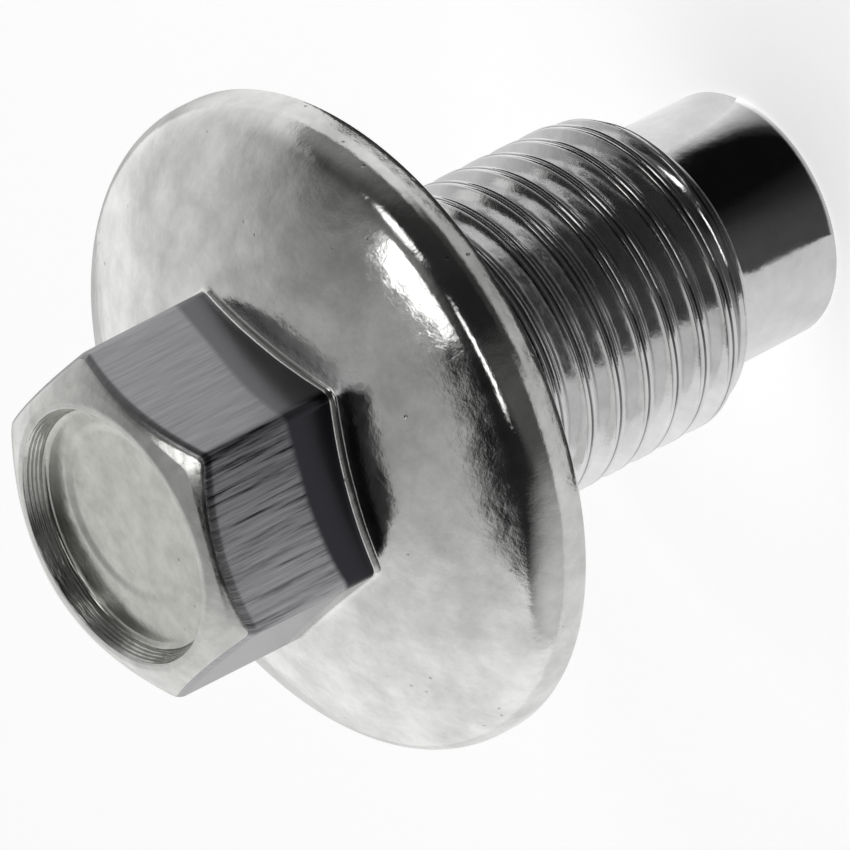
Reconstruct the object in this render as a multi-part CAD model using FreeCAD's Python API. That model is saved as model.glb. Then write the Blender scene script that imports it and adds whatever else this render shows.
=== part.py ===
# Oil drain plug, one cold-headed steel piece: domed flange, small hex head with a dished recess,
# rolled fine thread and a plain pilot end.
# Frame: millimetres. The origin is the middle of the pilot's end face, on which the plug stands.
# +Z runs up the thread axis to the hex head. +X points at the middle of one hex flat.
# The one exported node is the frame itself, so nothing moves.
import math
import os
import FreeCAD
import Part

V = FreeCAD.Vector

# Overall heights above the pilot's end face
TOTAL_H = 33.2          # pilot end to the lip round the head's recess
SEAT_Z = 21.3           # flat underside of the flange, the face that seals
THREAD_END_Z = 6.0      # edge of the threaded length, pilot side

# Pilot
PILOT_R = 5.25
PILOT_EDGE_R = 0.2      # broken edge of the end face
LEAD_H = 0.9            # cone from the pilot up to the thread

# Thread, M14 x 1.5, right hand. The rolled crests aren't filled out: the photo shows 13.4 mm over them
THREAD_R = 6.7
PITCH = 1.5
CREST_W = 0.46          # rolled crests are wider than cut ones
ROOT_W = 0.22
FLANK = math.radians(30.0)
THREAD_BURY = 0.12      # how far the ridge reaches into the core; turns mustn't meet under the root
COLLAR_R = 6.3          # plain ring of the blank, where the rolling stops
COLLAR_H = 0.35
THREAD_START_H = 0.6    # height over which the first crest rises from the collar's edge
THREAD_START_IN = 0.15  # how far inside the collar that rise begins
RUN_OUT_H = 0.7         # the last crest runs out over this height, at the neck
NECK_R = 5.9            # plain neck between the thread and the seat
NECK_H = 2.9            # room for the sealing washer
NECK_FILLET = 0.45

# Flange
FLANGE_R = 13.55
RIM_H = 0.65            # height of the plain outer edge
UNDER_EDGE_R = 0.25
SHOULDER_R = 1.9        # round from the outer edge into the dome
DOME_R = 23.6

# Hex head
HEX_AF_TOP = 12.45      # across flats just under the chamfer
HEX_AF_BOTTOM = 12.75   # a forged head is a little fuller at the flange
HEX_CORNER_R = 0.55
HEX_FOOT_FILLET = 0.5
CHAMFER_DEG = 30.0      # top chamfer, measured from the level
LIP_R = 5.5             # where the chamfer meets the lip
HEX_ROOT_Z = 23.3       # the hexagon starts inside the dome, at this height

# Overlaps inside the solid, which only make the fusing sound
JOIN = 0.5
SPARE_LOW = 1.0167      # turns of ridge trimmed off at the pilot side, which also turns the helix as in the photo
SPARE_HIGH = 0.6        # and at the neck
EDGE_STEPS = 2          # flats along a small edge round
SHOULDER_STEPS = 4      # and along the flange's shoulder, within 0.02 mm of the true round

# Dished recess in the head
RECESS_R = 5.22
RECESS_D = 0.95
RECESS_FLOOR_R = 4.95
RECESS_FOOT_R = 0.35    # round between wall and floor
RECESS_LIP = 0.1        # broken edge at the mouth
FLOOR_DISH = 0.12       # the floor is a little lower in the middle

thread_depth = (PITCH - CREST_W - ROOT_W) / 2.0 / math.tan(FLANK)
root_r = THREAD_R - thread_depth


def arc(a, m, b):
    return Part.Arc(V(a[0], 0, a[1]), V(m[0], 0, m[1]), V(b[0], 0, b[1])).toShape()


def line(a, b):
    return Part.makeLine(V(a[0], 0, a[1]), V(b[0], 0, b[1]))


def turned(edges):
    """Solid turned about the Z axis from a closed profile in the XZ plane."""
    face = Part.Face(Part.Wire(edges))
    solid = face.revolve(V(0, 0, 0), V(0, 0, 1), 360)
    if solid.Volume < 0:
        solid.reverse()
    return solid


def at(centre, radius, angle):
    return (centre[0] + radius * math.cos(angle), centre[1] + radius * math.sin(angle))


def stepped(centre, radius, start_deg, end_deg, steps):
    """Points along a round taken in short flats, because a true arc this small packs to thousands of facets."""
    angles = [start_deg + (end_deg - start_deg) * k / steps for k in range(steps + 1)]
    return [at(centre, radius, math.radians(a)) for a in angles]


def chain(points):
    """Straight edges from point to point."""
    return [line(p, q) for p, q in zip(points, points[1:])]


def shank():
    """Pilot, lead cone, thread core and neck, up to just inside the flange."""
    e = PILOT_EDGE_R
    f = NECK_FILLET
    neck_low = SEAT_Z - NECK_H
    points = [(0, 0)]
    points += stepped((PILOT_R - e, e), e, -90, 0, EDGE_STEPS)
    points.append((PILOT_R, THREAD_END_Z - LEAD_H))
    points.append((COLLAR_R, THREAD_END_Z))
    points.append((COLLAR_R, THREAD_END_Z + COLLAR_H))
    points.append((root_r, THREAD_END_Z + COLLAR_H + (COLLAR_R - root_r)))
    points.append((root_r, neck_low - (root_r - NECK_R)))
    points.append((NECK_R, neck_low))
    points += stepped((NECK_R + f, SEAT_Z - f), f, 180, 90, EDGE_STEPS)
    points.append((NECK_R + f, SEAT_Z + JOIN))
    points.append((0, SEAT_Z + JOIN))
    points.append((0, 0))
    return turned(chain(points))


def dome_centre_z():
    """Height of the dome's centre, which lies on the axis so that the dome runs into the shoulder."""
    across = FLANGE_R - SHOULDER_R
    return SEAT_Z + RIM_H - math.sqrt((DOME_R - SHOULDER_R) ** 2 - across ** 2)


def flange():
    """Domed flange: flat seat, plain rim, rounded shoulder, shallow dome."""
    u = UNDER_EDGE_R
    shoulder_c = (FLANGE_R - SHOULDER_R, SEAT_Z + RIM_H)
    dome_c = (0, dome_centre_z())
    touch = math.atan2(shoulder_c[1] - dome_c[1], shoulder_c[0])
    joint = at(shoulder_c, SHOULDER_R, touch)
    crown = at(dome_c, DOME_R, math.pi / 2)
    outline = [(0, SEAT_Z)]
    outline += stepped((FLANGE_R - u, SEAT_Z + u), u, -90, 0, EDGE_STEPS)
    outline += stepped(shoulder_c, SHOULDER_R, 0, math.degrees(touch), SHOULDER_STEPS)
    edges = chain(outline)
    edges.append(arc(joint, at(dome_c, DOME_R, (touch + math.pi / 2) / 2), crown))
    edges.append(line(crown, (0, SEAT_Z)))
    return turned(edges)


def hex_wire(af, z):
    """Hexagon with rounded corners, flats square to X and every 60 degrees from it."""
    r = HEX_CORNER_R
    inner = (af / 2.0 - r) / math.cos(math.pi / 6)
    edges = []
    for k in range(6):
        a = math.radians(30 + 60 * k)
        c = (inner * math.cos(a), inner * math.sin(a))
        p = []
        for d in (-30, 0, 30):
            b = a + math.radians(d)
            p.append(V(c[0] + r * math.cos(b), c[1] + r * math.sin(b), z))
        edges.append((p[0], p[1], p[2]))
    wire = []
    for k in range(6):
        here = edges[k]
        after = edges[(k + 1) % 6]
        wire.append(Part.Arc(here[0], here[1], here[2]).toShape())
        wire.append(Part.makeLine(here[2], after[0]))
    return Part.Wire(wire)


def hex_foot():
    """Flare in two steps where the hexagon meets the dome, as a forged corner has."""
    f = HEX_FOOT_FILLET
    foot_z = dome_centre_z() + math.sqrt(DOME_R ** 2 - (HEX_AF_BOTTOM / 2) ** 2)
    levels = [(f, foot_z - JOIN)]
    levels += [(f + x, foot_z + f + z) for x, z in stepped((0, 0), f, -90, -180, EDGE_STEPS)]
    wires = [hex_wire(HEX_AF_BOTTOM + 2 * wide, z) for wide, z in levels]
    return Part.makeLoft(wires, True, True)


def hex_head():
    """Lofted hexagon cut by the chamfer cone."""
    low_z = HEX_ROOT_Z
    prism = Part.makeLoft([hex_wire(HEX_AF_BOTTOM, low_z), hex_wire(HEX_AF_TOP, TOTAL_H)], True, True)
    reach = HEX_AF_BOTTOM
    drop = (reach - LIP_R) * math.tan(math.radians(CHAMFER_DEG))
    envelope = turned(chain([
        (0, low_z - JOIN),
        (reach, low_z - JOIN),
        (reach, TOTAL_H - drop),
        (LIP_R, TOTAL_H),
        (0, TOTAL_H),
        (0, low_z - JOIN),
    ]))
    return prism.common(envelope)


def recess():
    """Shallow dish pressed into the head: broken lip, steep wall, foot round, floor lower in the middle."""
    floor_z = TOTAL_H - RECESS_D
    f = RECESS_FOOT_R
    wall = math.atan2(RECESS_D, RECESS_R - RECESS_FLOOR_R)
    # the foot round touches the floor and the wall
    foot_c = (RECESS_FLOOR_R - f * math.tan(wall / 2), floor_z + f)
    lip_z = TOTAL_H - RECESS_LIP
    wall_r = RECESS_R - RECESS_LIP / math.tan(wall)
    points = [(0, floor_z - FLOOR_DISH)]
    points += stepped(foot_c, f, -90, math.degrees(wall) - 90, EDGE_STEPS)
    points.append((wall_r, lip_z))
    points.append((RECESS_R + RECESS_LIP, TOTAL_H))
    points.append((RECESS_R + RECESS_LIP, TOTAL_H + JOIN))
    points.append((0, TOTAL_H + JOIN))
    points.append((0, floor_z - FLOOR_DISH))
    return turned(chain(points))


def thread():
    """Helical ridge with a flat crest, trimmed to full turns between the lead and the neck."""
    low = THREAD_END_Z - SPARE_LOW * PITCH
    high = SEAT_Z - NECK_H + SPARE_HIGH * PITCH
    bury = THREAD_BURY
    base_half = (CREST_W / 2.0) + (thread_depth + bury) * math.tan(FLANK)
    base_r = root_r - bury
    half = CREST_W / 2.0
    pts = [
        V(base_r, 0, low - base_half),
        V(THREAD_R, 0, low - half),
        V(THREAD_R, 0, low + half),
        V(base_r, 0, low + base_half),
    ]
    pts.append(pts[0])
    profile = Part.makePolygon(pts)
    helix = Part.makeHelix(PITCH, high - low, THREAD_R)
    helix.translate(V(0, 0, low))
    ridge = Part.Wire(helix.Edges).makePipeShell([profile], True, True)
    if ridge.Volume < 0:
        ridge.reverse()
    # what is kept: crests that rise from the collar, full crests, a longer run-out at the neck
    out_r = THREAD_R + JOIN
    in_r = base_r - JOIN
    top_z = SEAT_Z - NECK_H
    start_r = COLLAR_R - THREAD_START_IN
    low_z = THREAD_END_Z + COLLAR_H / 2
    start_z = low_z + THREAD_START_H * (out_r - start_r) / (THREAD_R - start_r)
    run_z = top_z - RUN_OUT_H * (out_r - NECK_R) / (THREAD_R - NECK_R)
    keep = turned(chain([
        (in_r, low_z),
        (start_r, low_z),
        (out_r, start_z),
        (out_r, run_z),
        (NECK_R, top_z),
        (in_r, top_z),
        (in_r, low_z),
    ]))
    return ridge.common(keep)


body = shank().fuse(flange()).fuse(hex_foot()).fuse(hex_head())
body = body.cut(recess())
body = body.fuse(thread())
body = body.removeSplitter()
solid = body.Solids[0]
print("solids", len(body.Solids), "faces", len(solid.Faces), "valid", solid.isValid())
print("volume mm3", round(solid.Volume, 1), "box", solid.BoundBox)

os.makedirs("parts", exist_ok=True)
solid.exportStep("parts/drain_plug.step")
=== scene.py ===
"""Oil drain plug: the visible finish of one cold-headed, plated steel piece, with its studio."""
import math
from collections import namedtuple

import bmesh
import bpy
from bpy.props import FloatProperty, FloatVectorProperty, PointerProperty
from mathutils import Matrix, Vector


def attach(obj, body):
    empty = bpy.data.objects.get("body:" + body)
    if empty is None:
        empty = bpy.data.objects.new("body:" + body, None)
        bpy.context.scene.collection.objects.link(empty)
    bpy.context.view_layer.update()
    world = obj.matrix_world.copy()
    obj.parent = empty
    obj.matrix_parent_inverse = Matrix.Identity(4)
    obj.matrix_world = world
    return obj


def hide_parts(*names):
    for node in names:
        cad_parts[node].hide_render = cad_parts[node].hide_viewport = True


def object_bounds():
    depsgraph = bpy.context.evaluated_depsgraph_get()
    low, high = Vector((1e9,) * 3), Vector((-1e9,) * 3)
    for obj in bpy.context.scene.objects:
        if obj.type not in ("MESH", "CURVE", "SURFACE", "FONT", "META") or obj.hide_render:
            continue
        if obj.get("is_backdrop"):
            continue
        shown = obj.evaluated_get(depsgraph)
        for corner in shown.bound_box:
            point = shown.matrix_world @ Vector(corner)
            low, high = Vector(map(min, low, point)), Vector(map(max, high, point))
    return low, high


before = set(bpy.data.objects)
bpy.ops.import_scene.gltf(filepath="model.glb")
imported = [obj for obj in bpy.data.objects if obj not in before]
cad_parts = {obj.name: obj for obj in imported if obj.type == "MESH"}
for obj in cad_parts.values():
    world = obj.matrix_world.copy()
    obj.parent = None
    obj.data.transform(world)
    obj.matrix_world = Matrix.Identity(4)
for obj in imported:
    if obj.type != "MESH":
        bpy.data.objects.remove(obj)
CAD_LOW, CAD_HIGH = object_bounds()

bl_info = {
    "name": "Oil drain plug",
    "version": (1, 0, 0),
    "blender": (4, 0, 0),
    "location": "3D View > Sidebar > Drain plug",
    "description": "Builds a plated steel oil drain plug and the studio that it is shown in",
    "category": "Add Mesh",
}

MM = 0.001
BODY = "root"
NODE = "drain_plug"

# Sizes in millimetres. The first two come from the frame, the others are the ones that it was modelled with.
TOTAL_H = (CAD_HIGH.z - CAD_LOW.z) / MM
FLANGE_R = (CAD_HIGH.x - CAD_LOW.x) / MM / 2
SEAT_Z = 21.3
RIM_H = 0.65
SHOULDER_R = 1.9
SHOULDER_PARTS = 18
UNDER_EDGE_R = 0.15
DOME_R = 23.6
DOME_START = 0.9        # the dome's own rings begin this far outside the hexagon
HEX_AF_TOP = 12.45
HEX_AF_BOTTOM = 12.75
HEX_ROOT_Z = 23.3
HEX_CORNER_R = 0.55
HEX_EDGE_R = 0.55
HEX_FOOT_R = 0.3
CORNER_CROWD = 0.1      # radians by which the columns crowd towards the hexagon's corners
LIP_R = 5.5
LIP_EDGE_R = 0.35
CHAMFER = math.radians(30)
CHAMFER_BEND = 0.032    # the forged chamfer bulges by this share of its width
CHAMFER_BEND_R = 1.0
RECESS_R = 5.22
RECESS_D = 0.95
RECESS_FLOOR_R = 4.95
RECESS_FOOT_R = 0.3
RECESS_EDGE_R = 0.1
RINGS = 4               # forming rings round the recess wall
COIN_AT = Vector((0.55, 0.25))      # off-centre punch mark on the recess floor
COIN_R = 3.5
COIN_EDGE = 0.16        # half the width of the mark's soft edge
COIN_WAY = math.radians(110)        # the side where the punch went deepest
THREAD_R = 6.7
PITCH = 1.5
CREST_W = 0.46
ROOT_W = 0.22
CREST_EDGE_R = 0.11
ROOT_EDGE_R = 0.17
SEAM_HALF = 0.06        # half the width of the seam in a rolled crest
SEAM_SAG = 0.01         # how far the crest sags beside it
SEAM_EDGE_R = 0.03
SEAM_FOOT_R = 0.02
FLANK = math.radians(30)
THREAD_END_Z = 6.0
THREAD_PHASE_Z = 4.475  # height of a crest's middle at +X, below the first whole crest
COLLAR_R = 6.3
COLLAR_H = 0.35
START_RISE = 0.9        # how steeply the first crest rises from the collar
RUN_OUT_RISE = 1.15
NECK_R = 5.9
NECK_TOP_Z = 18.4
NECK_FILLET = 0.45
NECK_EDGE_R = 0.05
NECK_SPREAD = 2         # hidden in the flange, the neck's foot reaches this much wider
NECK_BURY = 0.5         # and this much higher
PILOT_R = 5.25
PILOT_EDGE_R = 0.2
LEAD_H = 0.9
LEAD_EDGE_R = 0.2
COLLAR_EDGE_R = 0.06
SKIN_START = 0.1        # this far up the collar the thread's skin begins
COLLAR_TOP = 0.12       # the shank's own collar ends just under that skin
CORE_STEP = 0.2         # and has stepped in to the core here, as it has this far below the neck
CORE_SINK = 0.06        # the core lies this far inside the thread's root
ROOT_R = THREAD_R - (PITCH - CREST_W - ROOT_W) / 2 / math.tan(FLANK)

COLUMNS = 360           # round the axis
THREAD_STEPS = 180      # in a turn of thread
ON_AXIS = 1e-4          # nearer than this counts as on the axis


# Colour and node helpers

def linear(code):
    """sRGB hex, such as 'c8c8c6', as linear RGBA."""
    values = [int(code[i:i + 2], 16) / 255 for i in (0, 2, 4)]
    return tuple(v / 12.92 if v <= 0.04045 else ((v + 0.055) / 1.055) ** 2.4 for v in values) + (1.0,)


def look():
    """What the user has set."""
    return bpy.context.scene.plug_look


def add(tree, kind, settings=None, links=None):
    """Adds a node with its settings and links. A link's value is a socket, or else the input's own number."""
    node = tree.nodes.new(kind)
    for name, value in (settings or {}).items():
        setattr(node, name, value)
    for name, value in (links or {}).items():
        socket = node.inputs[name]
        if isinstance(value, bpy.types.NodeSocket):
            tree.links.new(value, socket)
        else:
            socket.default_value = value
    return node


def ramp(tree, factor, stops, kind="LINEAR"):
    """Ramp over (position, level) stops."""
    node = add(tree, "ShaderNodeValToRGB", {}, {"Fac": factor})
    node.color_ramp.interpolation = kind
    elements = node.color_ramp.elements
    while len(elements) < len(stops):
        elements.new(0.5)
    for element, (position, level) in zip(elements, stops):
        element.position = position
        element.color = (level, level, level, 1)
    return node.outputs["Color"]


def ramp_over(tree, value, span, stops):
    """Ramp whose stops are given in the value's own unit, up to a span."""
    return ramp(tree, maths(tree, "DIVIDE", value, span), [(at / span, level) for at, level in stops])


def maths(tree, operation, a, b=0.0):
    """One sum on numbers."""
    return add(tree, "ShaderNodeMath", {"operation": operation}, {0: a, 1: b}).outputs[0]


def along(tree, vector, way):
    """Component of a vector along a fixed direction."""
    return add(tree, "ShaderNodeVectorMath", {"operation": "DOT_PRODUCT"}, {
        0: vector, 1: way}).outputs["Value"]


def as_share(tree, value):
    """A number from -1 to 1 as one from 0 to 1, for a ramp."""
    return maths(tree, "ADD", maths(tree, "MULTIPLY", value, 0.5), 0.5)


def blank(owner):
    """Empty node tree of a material or a world."""
    owner.use_nodes = True
    owner.node_tree.nodes.clear()
    return owner.node_tree


def shine(tree, level):
    """White light of a level."""
    return add(tree, "ShaderNodeEmission", {}, {"Color": linear("ffffff"), "Strength": level}).outputs[0]


# Shapes

def rounded(corners):
    """Profile points from corners (r, z, radius, arc steps, parts of the straight run that follows).
    The count depends on the steps and parts alone, so sections at different angles match."""
    result = []
    for index, (x, z, radius, steps, parts) in enumerate(corners):
        corner = Vector((x, z))
        arc = [corner]
        if radius > 0:
            before = (Vector(corners[index - 1][:2]) - corner).normalized()
            after = (Vector(corners[index + 1][:2]) - corner).normalized()
            half = before.angle(after) / 2
            centre = corner + (before + after).normalized() * (radius / math.sin(half))
            start = corner + before * (radius / math.tan(half)) - centre
            end = corner + after * (radius / math.tan(half)) - centre
            arc = [centre + start.slerp(end, k / steps) * radius / start.slerp(end, k / steps).length
                   for k in range(steps + 1)]
        if result:
            last = result[-1]
            result += [last.lerp(arc[0], k / gap) for k in range(1, gap)]
        result += arc
        gap = parts
    return result


def spun(bm, profile, columns):
    """Turns a profile of (r, z) points about the Z axis into a closed skin. Each vertex keeps its ring's
    number."""
    ring = bm.verts.layers.int.new("ring")
    verts = [bm.verts.new((p.x, 0, p.y)) for p in profile]
    for index, v in enumerate(verts):
        v[ring] = index
    edges = [bm.edges.new(pair) for pair in zip(verts, verts[1:])]
    bmesh.ops.spin(bm, geom=verts + edges, cent=(0, 0, 0), axis=(0, 0, 1), dvec=(0, 0, 0),
                   angle=2 * math.pi, steps=columns, use_merge=True, use_duplicate=False)
    bmesh.ops.remove_doubles(bm, verts=bm.verts, dist=1e-5)
    return ring


def finished(bm, name, materials, pick=None):
    """Makes the mesh an object in metres, smooth, on the body, with its materials by face."""
    if NODE not in bpy.data.objects or not bm.faces:
        raise RuntimeError(name + " can't be built: it needs the node " + NODE + " and a mesh with faces")
    bmesh.ops.recalc_face_normals(bm, faces=bm.faces)
    for face in bm.faces:
        face.smooth = True
        if pick:
            face.material_index = pick(face)
    bmesh.ops.scale(bm, vec=(MM, MM, MM), verts=bm.verts)
    mesh = bpy.data.meshes.new(name)
    bm.to_mesh(mesh)
    bm.free()
    obj = bpy.data.objects.new(name, mesh)
    bpy.context.scene.collection.objects.link(obj)
    for material in materials:
        mesh.materials.append(material)
    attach(obj, BODY)
    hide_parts(NODE)
    return obj


def smooth_step(low, high, value):
    """0 below low, 1 above high, and an even rise between them."""
    share = min(1, max(0, (value - low) / (high - low)))
    return share * share * (3 - 2 * share)


def dome_z(radius):
    """Height of the flange's dome at a radius."""
    centre = SEAT_Z + RIM_H - math.sqrt((DOME_R - SHOULDER_R) ** 2 - (FLANGE_R - SHOULDER_R) ** 2)
    return centre + math.sqrt(DOME_R ** 2 - radius ** 2)


def hex_reach(angle, z):
    """Distance from the axis to the rounded hexagon at a height, with a flat's middle on +X. The forged
    head is fuller at the flange."""
    share = (z - HEX_ROOT_Z) / (TOTAL_H - HEX_ROOT_Z)
    flat = (HEX_AF_BOTTOM + (HEX_AF_TOP - HEX_AF_BOTTOM) * share) / 2
    turn = math.radians(60)
    off = abs((angle + turn / 2) % turn - turn / 2)
    centre = (flat - HEX_CORNER_R) / math.cos(turn / 2)
    touch = math.atan2((flat - HEX_CORNER_R) * math.tan(turn / 2), flat)
    if off <= touch:
        return flat / math.cos(off)
    side = turn / 2 - off
    return centre * math.cos(side) + math.sqrt(HEX_CORNER_R ** 2 - (centre * math.sin(side)) ** 2)


# Rings of the head's section, numbered from the recess centre outwards: where each finish begins
FLOOR_PARTS, WALL_PARTS, CHAMFER_PARTS, FLAT_PARTS, DOME_PARTS = 40, 24, 4, 26, 34
ARC = 5
FIRST_WALL = FLOOR_PARTS + ARC
FIRST_EDGE = FIRST_WALL + WALL_PARTS + 3 * ARC + 2 * CHAMFER_PARTS + 1
FIRST_FOOT = FIRST_EDGE + ARC + FLAT_PARTS
BRIGHT, SHEARED, PRESSED, TURNED = range(4)


def head_section(angle):
    """Section of the head and flange at an angle: chamfer, flat and foot follow the hexagon's reach."""
    edge_z = foot_z = TOTAL_H
    # the reach depends on the height and the height on the reach, so both are found in a few rounds
    for _ in range(3):
        edge_r = hex_reach(angle, edge_z)
        edge_z = TOTAL_H - (edge_r - LIP_R) * math.tan(CHAMFER)
        foot_r = hex_reach(angle, foot_z)
        foot_z = dome_z(foot_r)
    bend = (edge_r - LIP_R) / 2
    bend_z = TOTAL_H - bend * math.tan(CHAMFER) + (edge_r - LIP_R) * CHAMFER_BEND
    rim_top = SEAT_Z + RIM_H
    shoulder_r = FLANGE_R - SHOULDER_R
    touch = math.acos(shoulder_r / (DOME_R - SHOULDER_R))
    joint_r = shoulder_r + SHOULDER_R * math.cos(touch)
    start_r = foot_r + DOME_START
    dome = [start_r + (joint_r - start_r) * k / DOME_PARTS for k in range(DOME_PARTS)]
    shoulder = [touch * (1 - k / SHOULDER_PARTS) for k in range(SHOULDER_PARTS)]
    floor_z = TOTAL_H - RECESS_D
    return rounded(
        [(0, floor_z, 0, 0, FLOOR_PARTS),
         (RECESS_FLOOR_R, floor_z, RECESS_FOOT_R, ARC, WALL_PARTS),
         (RECESS_R, TOTAL_H, RECESS_EDGE_R, ARC, 2),
         (LIP_R, TOTAL_H, LIP_EDGE_R, ARC, CHAMFER_PARTS),
         (LIP_R + bend, bend_z, CHAMFER_BEND_R, ARC, CHAMFER_PARTS),
         (edge_r, edge_z, HEX_EDGE_R, ARC, FLAT_PARTS),
         (foot_r, foot_z, HEX_FOOT_R, ARC, 2)]
        + [(r, dome_z(r), 0, 0, 1) for r in dome]
        + [(shoulder_r + SHOULDER_R * math.cos(a), rim_top + SHOULDER_R * math.sin(a), 0, 0, 1)
           for a in shoulder]
        + [(FLANGE_R, rim_top, 0, 0, 3),
           (FLANGE_R, SEAT_Z, UNDER_EDGE_R, ARC, 14),
           (NECK_R, SEAT_Z, 0, 0, 4),
           (0, SEAT_Z, 0, 0, 1)])


def head_and_flange(materials):
    """Hex head with its recess, and the domed flange: spun as one, then each vertex is moved to the section
    at its own angle. The columns crowd at the six corners, where the form turns fastest."""
    bm = bmesh.new()
    ring = spun(bm, head_section(0), COLUMNS)
    sections = {}
    for v in bm.verts:
        if v.co.xy.length > ON_AXIS:
            angle = math.atan2(v.co.y, v.co.x)
            angle += CORNER_CROWD * math.sin(6 * angle)
            key = round(angle, 6)
            if key not in sections:
                sections[key] = head_section(angle)
            r, z = sections[key][v[ring]]
            wall = (v[ring] - FIRST_WALL) / WALL_PARTS
            if 0 < wall < 1:
                r -= look().ring_depth / MM * (1 - math.cos(2 * math.pi * RINGS * wall)) / 2
            v.co = (r * math.cos(angle), r * math.sin(angle), z)
        if v[ring] <= FIRST_WALL:
            v.co.z -= coin_depth(v.co.xy)

    def pick(face):
        at = sum(v[ring] for v in face.verts) / len(face.verts)
        if at < FIRST_WALL:
            return PRESSED
        if at < FIRST_EDGE + ARC / 2:
            return TURNED
        return SHEARED if at < FIRST_FOOT + 1 else BRIGHT

    return finished(bm, "head_and_flange", materials, pick)


def coin_depth(place):
    """How far the tilted, off-centre punch mark lowers the recess floor at a place."""
    spot = place - COIN_AT
    along = spot.x * math.cos(COIN_WAY) + spot.y * math.sin(COIN_WAY)
    inside = 1 - smooth_step(COIN_R - COIN_EDGE, COIN_R + COIN_EDGE, spot.length)
    return look().punch_depth / MM * inside * max(0, 0.5 + along / COIN_R / 2)


def shank(materials):
    """Pilot, lead cone up to the collar, core under the thread, and neck."""
    core_r = ROOT_R - CORE_SINK
    profile = rounded([
        (0, 0, 0, 0, 8),
        (PILOT_R, 0, PILOT_EDGE_R, 6, 10),
        (PILOT_R, THREAD_END_Z - LEAD_H, LEAD_EDGE_R, 4, 4),
        (COLLAR_R, THREAD_END_Z, COLLAR_EDGE_R, 3, 1),
        (COLLAR_R, THREAD_END_Z + COLLAR_TOP, 0, 0, 1),
        (core_r, THREAD_END_Z + CORE_STEP, 0, 0, 24),
        (core_r, NECK_TOP_Z - CORE_STEP, 0, 0, 1),
        (NECK_R, NECK_TOP_Z, NECK_EDGE_R, 3, 4),
        (NECK_R, SEAT_Z, NECK_FILLET, 6, 2),
        (NECK_R + NECK_SPREAD, SEAT_Z, 0, 0, 1),
        (NECK_R + NECK_SPREAD, SEAT_Z + NECK_BURY, 0, 0, 1),
        (0, SEAT_Z + NECK_BURY, 0, 0, 1),
    ])
    bm = bmesh.new()
    spun(bm, profile, COLUMNS // 2)
    return finished(bm, "pilot_and_neck", materials)


def thread_limits(z):
    """Least and greatest radius of the thread at a height: collar at the pilot side, run-out at the neck."""
    collar_top = THREAD_END_Z + COLLAR_H
    least = min(COLLAR_R, max(ROOT_R, COLLAR_R - (z - collar_top)))
    start = COLLAR_R + max(0, z - THREAD_END_Z - COLLAR_H / 2) * START_RISE
    run_out = NECK_R + max(0, NECK_TOP_Z - z) * RUN_OUT_RISE
    return min(least, run_out), min(start, run_out)


def thread(materials):
    """Rolled thread: one pitch of profile, with the seam that rolling leaves in the crest, screwed up one
    turn, copied up the shank, and lowered at both ends."""
    half = CREST_W / 2
    flank_w = (THREAD_R - ROOT_R) * math.tan(FLANK)
    seam = look().seam_depth / MM
    profile = rounded([
        (ROOT_R, -PITCH / 2, 0, 0, 1),
        (ROOT_R, -half - flank_w, ROOT_EDGE_R, 4, 6),
        (THREAD_R, -half, CREST_EDGE_R, 5, 1),
        (THREAD_R - SEAM_SAG, -SEAM_HALF, SEAM_EDGE_R, 2, 1),
        (THREAD_R - seam, 0, SEAM_FOOT_R, 2, 1),
        (THREAD_R - SEAM_SAG, SEAM_HALF, SEAM_EDGE_R, 2, 1),
        (THREAD_R, half, CREST_EDGE_R, 5, 6),
        (ROOT_R, half + flank_w, ROOT_EDGE_R, 4, 1),
        (ROOT_R, PITCH / 2, 0, 0, 1),
    ])
    bm = bmesh.new()
    verts = [bm.verts.new((p.x, 0, THREAD_PHASE_Z + p.y)) for p in profile]
    edges = [bm.edges.new(pair) for pair in zip(verts, verts[1:])]
    bmesh.ops.spin(bm, geom=verts + edges, cent=(0, 0, 0), axis=(0, 0, 1),
                   dvec=(0, 0, PITCH / THREAD_STEPS), angle=2 * math.pi, steps=THREAD_STEPS,
                   use_merge=False, use_duplicate=False)
    turn = bm.verts[:] + bm.edges[:] + bm.faces[:]
    for k in range(1, math.ceil((NECK_TOP_Z - THREAD_PHASE_Z) / PITCH) + 1):
        copy = bmesh.ops.duplicate(bm, geom=turn)["geom"]
        copied = [v for v in copy if isinstance(v, bmesh.types.BMVert)]
        bmesh.ops.translate(bm, vec=(0, 0, k * PITCH), verts=copied)
    bmesh.ops.remove_doubles(bm, verts=bm.verts, dist=1e-4)
    for level, side in ((THREAD_END_Z + SKIN_START, -1), (NECK_TOP_Z, 1)):
        bmesh.ops.bisect_plane(bm, geom=bm.verts[:] + bm.edges[:] + bm.faces[:], dist=1e-5,
                               plane_co=(0, 0, level), plane_no=(0, 0, side), clear_outer=True)
    for v in bm.verts:
        least, greatest = thread_limits(v.co.z)
        radius = v.co.xy.length
        v.co.xy *= max(least, min(greatest, radius)) / radius
    return finished(bm, "rolled_thread", materials)


# Materials. Each has functions of the tree and the place that give a number at every point of the surface.

Place = namedtuple("Place", "at radius angle height")


def place_mm(tree):
    """Object coordinates with lengths in millimetres."""
    coords = add(tree, "ShaderNodeTexCoord").outputs["Object"]
    scaled = add(tree, "ShaderNodeVectorMath", {"operation": "SCALE"}, {
        0: coords, "Scale": 1 / MM}).outputs[0]
    x, y, z = add(tree, "ShaderNodeSeparateXYZ", {}, {0: scaled}).outputs
    square = maths(tree, "ADD", maths(tree, "MULTIPLY", x, x), maths(tree, "MULTIPLY", y, y))
    return Place(scaled, maths(tree, "SQRT", square), maths(tree, "ARCTAN2", y, x), z)


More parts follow.
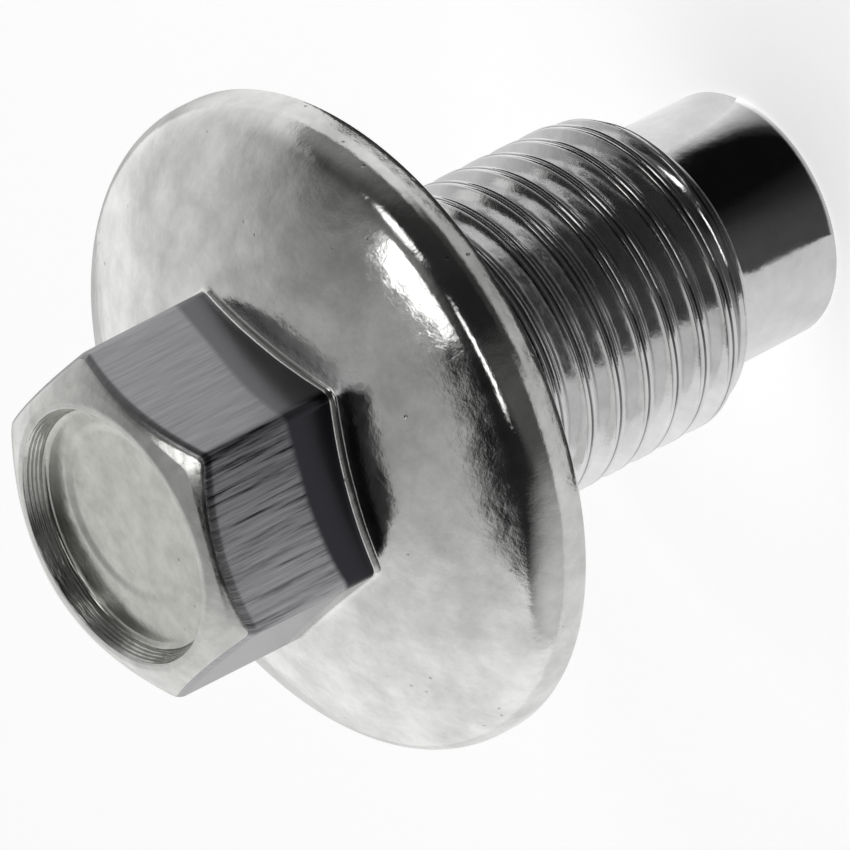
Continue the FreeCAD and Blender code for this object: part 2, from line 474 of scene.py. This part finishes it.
def noise(tree, vector, size_mm, detail, rough=0.55):
    """Noise whose largest blobs are about size_mm across."""
    return add(tree, "ShaderNodeTexNoise", {}, {
        "Vector": vector, "Scale": 1 / size_mm, "Detail": detail, "Roughness": rough}).outputs["Fac"]


def total(tree, start, *terms):
    """A starting number and the sum of (socket, weight) terms."""
    result = start
    for socket, weight in terms:
        result = maths(tree, "ADD", maths(tree, "MULTIPLY", socket, weight), result)
    return result


def clouds(tree, place, size_mm, least):
    """Broad soft clouds of tone, from least to 1."""
    return ramp(tree, noise(tree, place.at, size_mm, 5.0, 0.65), [(0.35, least), (0.65, 1.0)])


def plated(name, low, high, tone, rough, bump):
    """Metal from three functions of the tree and place: a tone between two colours (as hex or as set), a
    roughness, and a height in millimetres."""
    material = bpy.data.materials.new(name)
    tree = blank(material)
    place = place_mm(tree)
    colour = add(tree, "ShaderNodeMix", {"data_type": "RGBA"}, {"Factor": tone(tree, place)})
    for end, value in (("A", low), ("B", high)):
        colour.inputs[end].default_value = linear(value) if isinstance(value, str) else (*value, 1.0)
    dent = add(tree, "ShaderNodeBump", {}, {"Height": bump(tree, place), "Strength": 1.0, "Distance": MM})
    shader = add(tree, "ShaderNodeBsdfPrincipled", {}, {
        "Base Color": colour.outputs["Result"], "Metallic": 1.0, "Roughness": rough(tree, place),
        "Normal": dent.outputs[0]})
    add(tree, "ShaderNodeOutputMaterial", {}, {"Surface": shader.outputs[0]})
    return material


PIT_CELL = 0.5          # one pit at most in a cell of this size
PIT_RAGGED = 0.16       # how far a pit's edge wanders


def pits(tree, place, share):
    """Small pits, 0 in the open and 1 in a pit; share is the part of the cells that have one."""
    ragged = add(tree, "ShaderNodeTexNoise", {}, {"Vector": place.at, "Scale": 9.0, "Detail": 2.0})
    bent = add(tree, "ShaderNodeVectorMath", {"operation": "MULTIPLY_ADD"}, {
        0: ragged.outputs["Color"], 1: (PIT_RAGGED,) * 3, 2: place.at}).outputs[0]
    cells = add(tree, "ShaderNodeTexVoronoi", {}, {"Vector": bent, "Scale": 1 / PIT_CELL})
    spot = ramp(tree, cells.outputs["Distance"], [(0.0, 1.0), (0.08, 1.0), (0.18, 0.0)])
    chance = add(tree, "ShaderNodeSeparateColor", {}, {0: cells.outputs["Color"]}).outputs[0]
    return maths(tree, "MULTIPLY", spot, ramp(tree, chance, [(share, 1.0), (share + 0.01, 0.0)]))


def bright_plating():
    """Bright zinc plate over a tumbled forging: mirrors softly, with faint clouds, grain and a few pits."""
    def tone(tree, place):
        return total(tree, clouds(tree, place, 2.5, 0.55), (pits(tree, place, 0.06), -0.6))

    def rough(tree, place):
        return ramp(tree, noise(tree, place.at, 0.9, 5.0, 0.7), [(0.3, 0.06), (0.7, 0.16)])

    def bump(tree, place):
        return total(tree, 0.0, (noise(tree, place.at, 0.22, 4.0, 0.65), 0.006),
                     (noise(tree, place.at, 1.8, 2.0), 0.03), (pits(tree, place, 0.06), -0.008))

    return plated("Bright zinc plate", look().worn_colour, look().plate_colour, tone, rough, bump)


TORN_WAY = math.radians(-60)        # where the torn flat faces, which is also painted darker as painted shade
TORN_FROM = 5.9         # the tearing, and the painted shade on that flat, begins this far out from the axis
CUT_CORNER = math.radians(-30)      # the hexagon's corner where the trimming cut ends highest
CUT_END_Z = 28.7        # height where the cut ends near that corner; below the cut the flat is painted dark
FINE_LINE, TORN_LINE = 0.12, 0.17      # widths of the die's lines


def sheared_flat():
    """Hex flats: the trimming die leaves fine lines along the axis, torn deeper on one flat. That flat is
    painted darker, lightening away from its corner, as painted shade. Towards the foot the forged skin is
    left smooth, and is painted dark as a painted reflection of the flange."""
    def lines(tree, place, size):
        """Noise drawn out along the axis."""
        across = maths(tree, "MULTIPLY", place.angle, HEX_AF_TOP / 2)
        along_axis = maths(tree, "MULTIPLY", place.height, 0.035)
        return noise(tree, add(tree, "ShaderNodeCombineXYZ", {}, {0: across, 1: along_axis}).outputs[0],
                     size, 5.0, 0.65)

    def torn_and_shaded(tree, place):
        """1 on the torn flat, 0 on the others. It deepens the torn lines and marks where shade is painted."""
        out = along(tree, place.at, (math.cos(TORN_WAY), math.sin(TORN_WAY), 0))
        return ramp(tree, maths(tree, "SUBTRACT", out, TORN_FROM), [(0.0, 0.0), (0.25, 1.0)])

    def trimmed(tree, place):
        """1 where the die has cut, 0 on the skin below, which is painted dark. The cut reaches lower away
        from its corner.
        """
        wander = noise(tree, place.at, 6.0, 1.0)
        bow = maths(tree, "SUBTRACT", place.radius, HEX_AF_TOP / 2)
        turn = maths(tree, "ABSOLUTE", maths(tree, "SUBTRACT", place.angle, CUT_CORNER))
        above = total(tree, 0.5 - CUT_END_Z, (place.height, 1.0), (wander, -1.0), (bow, 0.35), (turn, 0.8))
        return ramp(tree, above, [(0.0, 0.0), (0.3, 1.0)], "EASE")

    def tone(tree, place):
        fine = ramp(tree, lines(tree, place, FINE_LINE), [(0.3, 0.35), (0.65, 1.0)])
        coarse = ramp(tree, lines(tree, place, TORN_LINE), [(0.35, 0.0), (0.5, 0.75), (0.64, 1.0)])
        torn_shade = torn_and_shaded(tree, place)
        # painted shade: the torn flat is painted darker, growing lighter away from the corner
        beside = maths(tree, "SUBTRACT", place.angle, TORN_WAY)
        tear_and_shade = total(tree, -0.6, (coarse, 0.6), (beside, -0.5))
        streaks_and_shade = total(tree, 0.43, (fine, 0.4), (maths(tree, "MULTIPLY", tear_and_shade, torn_shade), 1.0))
        # painted dark reflection of the flange on the foot skin, darker still on the torn flat
        skin_and_shade = total(tree, 0.3, (torn_shade, -0.26))
        return add(tree, "ShaderNodeMix", {"data_type": "FLOAT"}, {
            0: trimmed(tree, place), 2: skin_and_shade, 3: streaks_and_shade}).outputs[0]

    def rough(tree, place):
        return total(tree, 0.14, (trimmed(tree, place), 0.16))

    def bump(tree, place):
        coarse = maths(tree, "SUBTRACT", lines(tree, place, TORN_LINE), 0.5)
        depth = total(tree, 0.0, (lines(tree, place, FINE_LINE), 0.006),
                      (maths(tree, "MULTIPLY", coarse, torn_and_shaded(tree, place)), 0.04))
        return maths(tree, "MULTIPLY", depth, trimmed(tree, place))

    # the dark colour gives the lines their tone and paints the shade on the torn flat and at the foot
    return plated("Sheared zinc-plated flat", "2c2c32", "bcbcbe", tone, rough, bump)


def pressed_recess():
    """Recess floor: bright plate pressed nearly smooth by the heading punch."""
    def tone(tree, place):
        return total(tree, clouds(tree, place, 1.2, 0.65), (pits(tree, place, 0.05), -0.5))

    def rough(tree, place):
        return ramp(tree, noise(tree, place.at, 0.8, 4.0, 0.6), [(0.3, 0.14), (0.7, 0.24)])

    def bump(tree, place):
        return total(tree, 0.0, (noise(tree, place.at, 0.25, 4.0, 0.6), 0.006),
                     (noise(tree, place.at, 1.6, 2.0), 0.03))

    return plated("Punch-pressed zinc plate", "8f8e88", "d3d3ce", tone, rough, bump)


def turned_lip():
    """Recess wall, lip and chamfer: drawn rings at the wall, satin plate on the chamfer."""
    def rings(tree, place):
        """Noise drawn out round the axis."""
        turn = maths(tree, "MULTIPLY", place.angle, 0.4)
        vector = add(tree, "ShaderNodeCombineXYZ", {}, {0: place.radius, 1: turn, 2: place.height}).outputs[0]
        return noise(tree, vector, 0.16, 3.0, 0.6)

    def tone(tree, place):
        return clouds(tree, place, 1.5, 0.6)

    def rough(tree, place):
        return ramp(tree, noise(tree, place.at, 0.8, 4.0, 0.6), [(0.3, 0.14), (0.7, 0.26)])

    def bump(tree, place):
        wall = ramp(tree, maths(tree, "SUBTRACT", place.radius, LIP_R - 0.5), [(0.25, 1.0), (0.4, 0.0)])
        return total(tree, 0.0, (maths(tree, "MULTIPLY", rings(tree, place), wall), 0.02),
                     (noise(tree, place.at, 0.25, 4.0, 0.6), 0.007),
                     (noise(tree, place.at, 1.6, 2.0), 0.03))

    return plated("Turned zinc-plated lip", "929290", "dadad7", tone, rough, bump)


def rolled_plating():
    """Thread and pilot: burnished by the rolling dies, so the plate mirrors sharply. The seam of each crest
    is painted dark, as painted shade in the crease."""
    def seam(tree, place):
        """1 in the middle of a crest, on the thread alone: where the seam's shade is painted."""
        turns = total(tree, 0.5 - THREAD_PHASE_Z / PITCH,
                      (place.height, 1 / PITCH), (place.angle, -1 / (2 * math.pi)))
        phase = maths(tree, "FRACT", turns)
        off = maths(tree, "ABSOLUTE", maths(tree, "SUBTRACT", phase, 0.5))
        threaded = ramp(tree, maths(tree, "SUBTRACT", place.height, THREAD_END_Z), [(0.0, 0.0), (0.1, 1.0)])
        return maths(tree, "MULTIPLY", ramp(tree, off, [(0.02, 1.0), (0.045, 0.0)]), threaded)

    def tone(tree, place):
        haze = ramp(tree, noise(tree, place.at, 1.6, 5.0, 0.65), [(0.3, 0.8), (0.7, 1.0)])
        # painted shade in the seam of each crest
        return total(tree, haze, (seam(tree, place), -0.7))

    def rough(tree, place):
        return ramp(tree, noise(tree, place.at, 0.7, 5.0, 0.65), [(0.3, 0.07), (0.7, 0.17)])

    def bump(tree, place):
        return total(tree, 0.0, (noise(tree, place.at, 0.2, 4.0, 0.65), 0.005),
                     (noise(tree, place.at, 1.4, 2.0), 0.02))

    # the dark colour serves both the haze and the painted shade in the seam
    return plated("Rolled zinc plate", "6e6e70", "eeeeee", tone, rough, bump)


# Stage. Its own axes lie on the floor: A runs from the plug towards the camera, B to the lens's lower right.

CAMERA_AT = Vector((198.84, -155.52, 183.88)) * MM
CAMERA_AIM = Vector((-0.18, -1.94, 19.0)) * MM
CAMERA_ROLL = math.radians(-117.24)
SENSOR = 36.0
LENS = 330.35
CAMERA_AZIMUTH = math.atan2(CAMERA_AT.y, CAMERA_AT.x)
WAY_A = Vector((math.cos(CAMERA_AZIMUTH), math.sin(CAMERA_AZIMUTH), 0))
WAY_B = Vector((math.sin(CAMERA_AZIMUTH), -math.cos(CAMERA_AZIMUTH), 0))
UP = Vector((0, 0, 1))

# Name, way in A, B and up, length and width in metres, level, and lean of the length from B towards A
LAMPS = (
    ("top_strip", (0.113, -0.24, 0.965), (0.17, 0.025), 5.0, math.radians(19)),
    ("front_strip", (0.60, 0.05, 0.78), (0.25, 0.028), 3.2, 0.0),
    ("front_box", (0.42, -0.57, 0.70), (0.12, 0.10), 2.2, 0.0),
)
LAMP_REACH = 0.5
LAMP_AIM = UP * 0.02

# Levels of the tent by where a mirrored ray goes; 1 is lit white paper. A side runs from 0 against B to 1
# along it, and the grey card's distances are from its middle.
TENT_BACK_BY_HEIGHT = [(0.0, 0.92), (0.45, 0.84), (0.69, 0.74), (0.82, 0.59), (0.92, 0.52), (1.0, 0.46)]
GREY_CARD_WAY = WAY_A * -0.05 + WAY_B * -0.65 + UP * 0.76
GREY_CARD_BY_DISTANCE = [(0.0, 0.15), (0.15, 0.22), (0.27, 0.45), (0.42, 0.58), (0.6, 0.78), (0.9, 0.85),
                         (1.0, 0.9), (1.2, 1.06)]
# how far the black flag's edge reaches back
FLAG_LEAN_BY_SIDE = [(0.0, 0.14), (0.2, 0.14), (0.3, 0.0), (0.57, 0.0), (0.65, 0.10), (0.7, 0.16),
                     (0.8, 0.26)]
FLAG_BY_SIDE = [(0.0, 0.28), (0.06, 0.12), (0.14, 0.03), (0.55, 0.01), (0.79, 0.02), (0.86, 0.22),
                (0.91, 0.42), (1.0, 0.62)]
GLOW_BY_SIDE = [(0.1, 0.0), (0.2, 0.1), (0.3, 0.16), (0.4, 0.08), (0.5, 0.0)]
LOW_GLOW_BY_SIDE = [(0.45, 0.0), (0.6, 0.08), (0.75, 0.07)]

BOARD_R = 0.13
BOARD_GLOW = 0.62       # lifts the board to white for the camera, without more light on the plug
# levels in mirrored rays; a depth runs from 0 against A to 1 along it
BOARD_BY_SIDE = [(0.0, 0.80), (0.07, 0.76), (0.18, 0.46), (0.33, 0.41), (0.5, 0.49), (0.67, 0.60),
                 (0.82, 0.66), (1.0, 0.72)]
BOARD_BY_DEPTH = [(0.0, 1.3), (0.5, 1.1), (0.6, 1.0)]
BOARD_SHADE_WAY = WAY_A * 0.95 - WAY_B * 0.31       # the board darkens far out on this side

# Millimetres along A and B, counter-clockwise from the pilot's camera side
CARD_OUTLINE = (
    (5.3, 2.9), (2.0, -0.3), (2.8, -3.0), (4.4, -12.4), (-1.0, -13.5), (-7.6, -23.8), (-4.5, -30.2),
    (8.0, -35.5), (19.3, -31.0), (28.5, -22.8), (35.0, -10.4), (36.3, 4.2), (33.0, 15.5), (25.3, 26.0))
CARD_FLAT_R = 14.5      # out to here it lies flat, beyond it bends up
CARD_SLOPE = 0.227
CARD_LIFT = 0.02


def camera():
    """Long lens from above the head, rolled so that the axis runs up to the right as in the photo."""
    data = bpy.data.cameras.new("camera")
    data.sensor_width = SENSOR
    data.lens = LENS
    data.clip_start, data.clip_end = 0.01, 5.0
    obj = bpy.data.objects.new("camera", data)
    aimed = (CAMERA_AT - CAMERA_AIM).to_track_quat("Z", "Y").to_matrix().to_4x4()
    obj.matrix_world = Matrix.Translation(CAMERA_AT) @ aimed @ Matrix.Rotation(CAMERA_ROLL, 4, "Z")
    bpy.context.scene.collection.objects.link(obj)
    bpy.context.scene.camera = obj


def softbox(name, way, size, level, lean):
    """Soft lamp that faces the plug from a direction in stage axes. Its length lies along B, leaned towards
    A. A level of 1 is as bright as lit white paper."""
    data = bpy.data.lights.new(name, "AREA")
    data.shape = "RECTANGLE"
    data.size, data.size_y = size
    data.energy = level * math.pi * size[0] * size[1]
    obj = bpy.data.objects.new(name, data)
    back = (WAY_A * way[0] + WAY_B * way[1] + UP * way[2]).normalized()
    side = WAY_B * math.cos(lean) + WAY_A * math.sin(lean)
    side = (side - back * side.dot(back)).normalized()
    turn = Matrix((side, back.cross(side), back)).transposed()
    obj.matrix_world = Matrix.Translation(LAMP_AIM + back * LAMP_REACH) @ turn.to_4x4()
    bpy.context.scene.collection.objects.link(obj)


def studio_world(tent):
    """White tent, brightest low at the back, with a grey card on the left. A black flag covers the camera's
    side, and a little light comes round it. The camera sees white."""
    world = bpy.data.worlds.new("tent")
    bpy.context.scene.world = world
    tree = blank(world)
    way = add(tree, "ShaderNodeTexCoord").outputs["Generated"]
    toward = along(tree, way, WAY_A)
    side = as_share(tree, along(tree, way, WAY_B))
    off = add(tree, "ShaderNodeVectorMath", {"operation": "DISTANCE"}, {
        0: way, 1: GREY_CARD_WAY}).outputs["Value"]
    back = maths(tree, "MULTIPLY", ramp(tree, along(tree, way, UP), TENT_BACK_BY_HEIGHT),
                 ramp_over(tree, off, 2.0, GREY_CARD_BY_DISTANCE))
    glow = maths(tree, "MULTIPLY", ramp(tree, side, GLOW_BY_SIDE),
                 ramp(tree, toward, [(0.3, 1.0), (0.5, 0.0)]))
    low = maths(tree, "MULTIPLY", ramp(tree, side, LOW_GLOW_BY_SIDE),
                ramp(tree, toward, [(0.6, 0.0), (0.75, 1.0)]))
    front = maths(tree, "ADD", ramp(tree, side, FLAG_BY_SIDE), maths(tree, "ADD", glow, low))
    reach = maths(tree, "ADD", toward, ramp(tree, side, FLAG_LEAN_BY_SIDE))
    flagged = ramp(tree, reach, [(0.015, 0.0), (0.105, 1.0)], "EASE")
    shade = add(tree, "ShaderNodeMix", {"data_type": "FLOAT"}, {0: flagged, 2: back, 3: front}).outputs[0]
    seen = add(tree, "ShaderNodeLightPath").outputs["Is Camera Ray"]
    strength = maths(tree, "MAXIMUM", maths(tree, "MULTIPLY", shade, tent), seen)
    shown = add(tree, "ShaderNodeBackground", {}, {"Color": linear("ffffff"), "Strength": strength})
    add(tree, "ShaderNodeOutputWorld", {}, {"Surface": shown.outputs[0]})


def stage_mesh(bm, name, material):
    """Puts a mesh on the stage."""
    mesh = bpy.data.meshes.new(name)
    bm.to_mesh(mesh)
    bm.free()
    obj = bpy.data.objects.new(name, mesh)
    bpy.context.scene.collection.objects.link(obj)
    mesh.materials.append(material)
    obj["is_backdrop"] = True
    return obj


def floor():
    """White board that keeps the plug's shadow. Mirrored rays see it brighter at the sides and behind, and
    dark far out on the camera's side."""
    bm = bmesh.new()
    bmesh.ops.create_circle(bm, cap_ends=True, segments=96, radius=BOARD_R,
                            matrix=Matrix.Translation((0, 0, -CARD_LIFT * MM)))
    material = bpy.data.materials.new("White paper board")
    tree = blank(material)
    coords = add(tree, "ShaderNodeTexCoord").outputs["Object"]
    way = add(tree, "ShaderNodeVectorMath", {"operation": "NORMALIZE"}, {0: coords}).outputs[0]
    out = add(tree, "ShaderNodeVectorMath", {"operation": "LENGTH"}, {0: coords}).outputs["Value"]
    lit = maths(tree, "MULTIPLY", ramp(tree, as_share(tree, along(tree, way, WAY_B)), BOARD_BY_SIDE),
                ramp(tree, as_share(tree, along(tree, way, WAY_A)), BOARD_BY_DEPTH))
    far = ramp(tree, maths(tree, "DIVIDE", out, BOARD_R), [(0.42, 0.0), (0.5, 0.9)])
    shaded = ramp(tree, along(tree, way, BOARD_SHADE_WAY), [(0.84, 0.0), (0.92, 1.0)])
    lit = maths(tree, "MULTIPLY", lit, maths(tree, "SUBTRACT", 1.0, maths(tree, "MULTIPLY", far, shaded)))
    rays = add(tree, "ShaderNodeLightPath").outputs
    paper = add(tree, "ShaderNodeBsdfDiffuse", {}, {"Color": linear("f4f4f4")}).outputs[0]
    lifted = add(tree, "ShaderNodeAddShader", {}, {0: paper, 1: shine(tree, BOARD_GLOW)}).outputs[0]
    seen = add(tree, "ShaderNodeMixShader", {}, {0: rays["Is Camera Ray"], 1: paper, 2: lifted}).outputs[0]
    shader = add(tree, "ShaderNodeMixShader", {}, {0: rays["Is Glossy Ray"], 1: seen, 2: shine(tree, lit)})
    add(tree, "ShaderNodeOutputMaterial", {}, {"Surface": shader.outputs[0]})
    stage_mesh(bm, "floor", material)


def black_card():
    """Black card on the board at the plug's foot, bent up at its far edge, so that bright metal gets a dark
    band between two light ones. Only mirrored rays meet it."""
    bm = bmesh.new()
    outline = [WAY_A * a + WAY_B * b for a, b in CARD_OUTLINE]
    bmesh.ops.triangulate(bm, faces=[bm.faces.new([bm.verts.new(p) for p in outline])])
    bmesh.ops.subdivide_edges(bm, edges=bm.edges[:], cuts=12, use_grid_fill=True)
    for v in bm.verts:
        v.co.z = CARD_LIFT + max(0, v.co.length - CARD_FLAT_R) * CARD_SLOPE
    bmesh.ops.scale(bm, vec=(MM, MM, MM), verts=bm.verts)
    material = bpy.data.materials.new("Black card")
    tree = blank(material)
    place = place_mm(tree)
    toward, beside = along(tree, place.at, WAY_A), along(tree, place.at, WAY_B)
    out = add(tree, "ShaderNodeVectorMath", {"operation": "LENGTH"}, {0: place.at}).outputs["Value"]
    turn = maths(tree, "ADD", maths(tree, "ARCTAN2", beside, toward), 0.2)
    shade = ramp(tree, turn, [(0.0, 0.004), (0.2, 0.02), (0.4, 0.05), (0.6, 0.065)])
    shade = maths(tree, "MULTIPLY", shade, ramp_over(tree, out, 20, [(12, 1.0), (20, 0.4)]))
    far = ramp_over(tree, out, 20, [(14, 0.0), (18, 0.03)])
    # painted light: the card glows out to just past the pilot's edge, which puts a light line on that edge
    rim = ramp_over(tree, out, 20, [(5.44, 0.5), (5.54, 0.0)])
    # painted light: along its cut edge beside the pilot the card glows nearly as bright as the board, fading
    # inwards
    edge = total(tree, toward, (beside, 0.17))
    lifted = ramp_over(tree, edge, 10, [(2.2, 0.9), (3.5, 0.38), (4.3, 0.03), (4.8, 0.0)])
    lifted = maths(tree, "MULTIPLY", lifted, ramp_over(tree, out, 20, [(12.4, 1.0), (13.6, 0.0)]))
    level = total(tree, shade, (far, 1.0), (rim, 1.0), (lifted, 1.0))
    add(tree, "ShaderNodeOutputMaterial", {}, {"Surface": shine(tree, level)})
    obj = stage_mesh(bm, "black_card", material)
    obj.visible_camera = False
    obj.visible_diffuse = False
    obj.visible_shadow = False


# Add-on

class PlugLook(bpy.types.PropertyGroup):
    """What a user would change on the plug and in its studio."""
    seam_depth: FloatProperty(
        name="Crest seam", description="Depth of the seam that rolling leaves in the thread's crest",
        default=0.00009, min=0.0, max=0.0003, unit="LENGTH", precision=5)
    ring_depth: FloatProperty(
        name="Recess rings", description="Depth of the forming rings round the recess wall",
        default=0.00003, min=0.0, max=0.0001, unit="LENGTH", precision=5)
    punch_depth: FloatProperty(
        name="Punch mark", description="Depth of the off-centre punch mark on the recess floor",
        default=0.00013, min=0.0, max=0.0002, unit="LENGTH", precision=5)
    plate_colour: FloatVectorProperty(
        name="Plate", description="Colour of the bright zinc plate", size=3,
        default=linear("eeeeec")[:3], min=0.0, max=1.0, subtype="COLOR")
    worn_colour: FloatVectorProperty(
        name="Dull plate", description="Colour of the plate where it has dulled", size=3,
        default=linear("9a9a98")[:3], min=0.0, max=1.0, subtype="COLOR")
    tent: FloatProperty(
        name="Tent level", description="Brightness of the white tent round the plug",
        default=1.0, min=0.0, max=2.0, subtype="FACTOR")


class PLUG_OT_head(bpy.types.Operator):
    """Builds the hex head with its recess, and the domed flange"""
    bl_idname = "plug.head"
    bl_label = "Head and flange"

    def execute(self, context):
        head_and_flange([bright_plating(), sheared_flat(), pressed_recess(), turned_lip()])
        return {"FINISHED"}


class PLUG_OT_shank(bpy.types.Operator):
    """Builds the pilot, neck and rolled thread"""
    bl_idname = "plug.shank"
    bl_label = "Shank and thread"

    def execute(self, context):
        rolled = rolled_plating()
        shank([rolled])
        thread([rolled])
        return {"FINISHED"}


class PLUG_OT_stage(bpy.types.Operator):
    """Builds the white board, tent, lamps and camera"""
    bl_idname = "plug.stage"
    bl_label = "Studio"

    def execute(self, context):
        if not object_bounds()[1].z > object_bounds()[0].z:
            raise RuntimeError("The studio can't be built: there is no plug to light")
        studio_world(look().tent)
        floor()
        black_card()
        camera()
        for lamp in LAMPS:
            softbox(*lamp)
        return {"FINISHED"}


class PLUG_PT_panel(bpy.types.Panel):
    """Lists the plug's builders"""
    bl_idname = "PLUG_PT_panel"
    bl_label = "Drain plug"
    bl_space_type = "VIEW_3D"
    bl_region_type = "UI"
    bl_category = "Drain plug"

    def draw(self, context):
        layout = self.layout
        for name in PlugLook.__annotations__:
            layout.prop(context.scene.plug_look, name)
        for operator in OPERATORS:
            layout.operator(operator.bl_idname)


OPERATORS = (PLUG_OT_head, PLUG_OT_shank, PLUG_OT_stage)
CLASSES = (PlugLook,) + OPERATORS + (PLUG_PT_panel,)


def register():
    for cls in CLASSES:
        bpy.utils.register_class(cls)
    bpy.types.Scene.plug_look = PointerProperty(type=PlugLook)


def unregister():
    del bpy.types.Scene.plug_look
    for cls in reversed(CLASSES):
        bpy.utils.unregister_class(cls)


def main():
    register()
    bpy.context.scene.view_settings.view_transform = "Standard"
    bpy.ops.plug.head()
    bpy.ops.plug.shank()
    bpy.ops.plug.stage()


if __name__ == "__main__":
    main()
